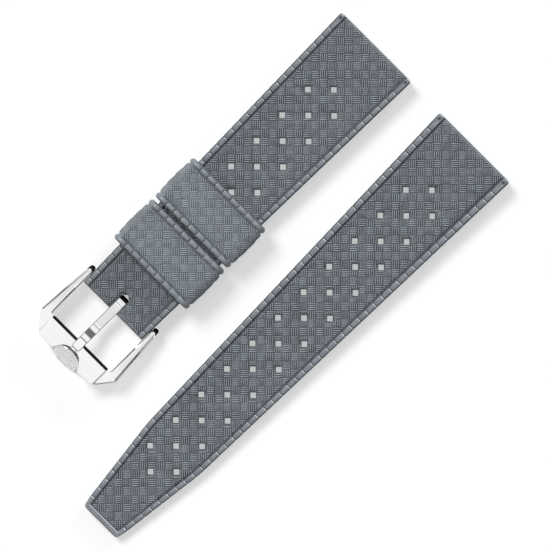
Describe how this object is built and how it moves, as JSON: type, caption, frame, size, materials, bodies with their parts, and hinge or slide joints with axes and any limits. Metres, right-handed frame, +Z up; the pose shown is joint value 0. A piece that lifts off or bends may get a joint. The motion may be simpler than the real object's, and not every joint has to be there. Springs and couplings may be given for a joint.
{
  "type": "rubber watch strap",
  "caption": "Two-piece tropic-style rubber dive strap with perforated basket-weave halves, keepers and a polished pin buckle.",
  "frame": {"origin": "middle of the box round both halves, on the table they lie on", "axes": "+X along the strap towards the lug ends, +Y towards the buckle half, +Z up from the table"},
  "size_m": [0.1084, 0.0492, 0.0076],
  "materials": {
    "rubber": "matte moulded grey rubber with a basket weave",
    "polished_steel": "mirror-polished stainless steel",
    "bar_steel": "plain drawn stainless steel"
  },
  "bodies": {
    "short_strap": {"short_half": "rubber", "bar_tube": "bar_steel", "bar_spring": "bar_steel"},
    "front_keeper": {"keeper_front": "rubber"},
    "rear_keeper": {"keeper_rear": "rubber"},
    "buckle": {"buckle_frame": "polished_steel", "buckle_medallion": "polished_steel"},
    "tongue": {"buckle_tongue": "polished_steel"},
    "left_tip": {"bar_tip_left": "bar_steel"},
    "right_tip": {"bar_tip_right": "bar_steel"},
    "long_strap": {"long_half": "rubber"}
  },
  "joints": [
    {"name": "keeper_front_slide", "type": "slide", "parent": "short_strap", "child": "front_keeper", "axis": [1, 0, 0], "range_m": [-0.0055, 0.0002]},
    {"name": "keeper_rear_slide", "type": "slide", "parent": "short_strap", "child": "rear_keeper", "axis": [1, 0, 0], "range_m": [-0.0002, 0.007]},
    {"name": "buckle_hinge", "type": "hinge", "parent": "short_strap", "child": "buckle", "pos_m": [-0.01935, 0.01397, 0.00245], "axis": [0, 1, 0], "range_deg": [-50, 40]},
    {"name": "tongue_hinge", "type": "hinge", "parent": "buckle", "child": "tongue", "pos_m": [-0.01935, 0.01397, 0.00245], "axis": [0, 1, 0], "range_deg": [0, 60]},
    {"name": "bar_tip_left_slide", "type": "slide", "parent": "short_strap", "child": "left_tip", "axis": [0, -1, 0], "range_m": [0, 0.00095], "stiffness_N_per_m": 1000, "springref_m": -0.001, "deforming": ["bar_spring"]},
    {"name": "bar_tip_right_slide", "type": "slide", "parent": "short_strap", "child": "right_tip", "axis": [0, 1, 0], "range_m": [0, 0.00095], "stiffness_N_per_m": 1000, "springref_m": -0.001},
    {"name": "long_half_slide", "type": "slide", "parent": "short_strap", "child": "long_strap", "axis": [0, -1, 0], "range_m": [0, 0.03]}
  ]
}
